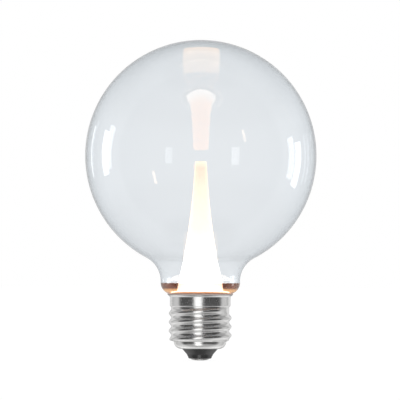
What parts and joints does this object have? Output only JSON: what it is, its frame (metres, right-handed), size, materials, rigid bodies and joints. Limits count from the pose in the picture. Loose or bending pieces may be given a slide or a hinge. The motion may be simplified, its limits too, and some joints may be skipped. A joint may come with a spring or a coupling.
{
  "type": "globe bulb",
  "caption": "Clear blown-glass globe lamp on a rolled screw cap, with a tall frosted cone inside that spreads its light.",
  "frame": {"origin": "tip of the centre contact, on the bulb's axis", "axes": "+Z along the bulb's axis from the centre contact to the crown of the glass; -Y faces the viewer of the picture"},
  "size_m": [0.096, 0.096, 0.133],
  "materials": {
    "clear_glass": "clear, fire polished",
    "frosted_cone": "frosted, lit from inside",
    "amber_resin": "poured, set level",
    "phosphor": "satin",
    "white_board": "white solder mask on metal core",
    "thermal_pad": "soft",
    "bare_aluminium": "drawn",
    "cement": "baked",
    "nickel_shell": "bright nickel on rolled sheet",
    "black_plug": "moulded, glossy",
    "contact_metal": "bright, slightly worn at the tip",
    "white_sleeve": "moulded",
    "circuit_card": "solder mask",
    "capacitor_jacket": "shrunk sleeve",
    "ferrite": "sintered",
    "film_case": "moulded",
    "chip_case": "moulded",
    "resistor_coat": "coated",
    "red_wire": "insulated",
    "black_wire": "insulated"
  },
  "bodies": {
    "root": {"glass_globe": "clear_glass", "light_cone": "frosted_cone", "bedding_resin": "amber_resin", "led_chips": "phosphor", "led_board": "white_board", "thermal_pad": "thermal_pad", "heat_spreader": "bare_aluminium", "cap_cement": "cement", "screw_shell": "nickel_shell", "insulator": "black_plug", "centre_contact": "contact_metal", "driver_sleeve": "white_sleeve", "driver_card": "circuit_card", "smoothing_capacitor": "capacitor_jacket", "filter_choke": "ferrite", "film_capacitor": "film_case", "bridge_rectifier": "chip_case", "driver_chip": "chip_case", "fusible_resistor": "resistor_coat", "live_lead": "red_wire", "neutral_lead": "black_wire", "led_lead_positive": "red_wire", "led_lead_negative": "black_wire"}
  },
  "joints": []
}
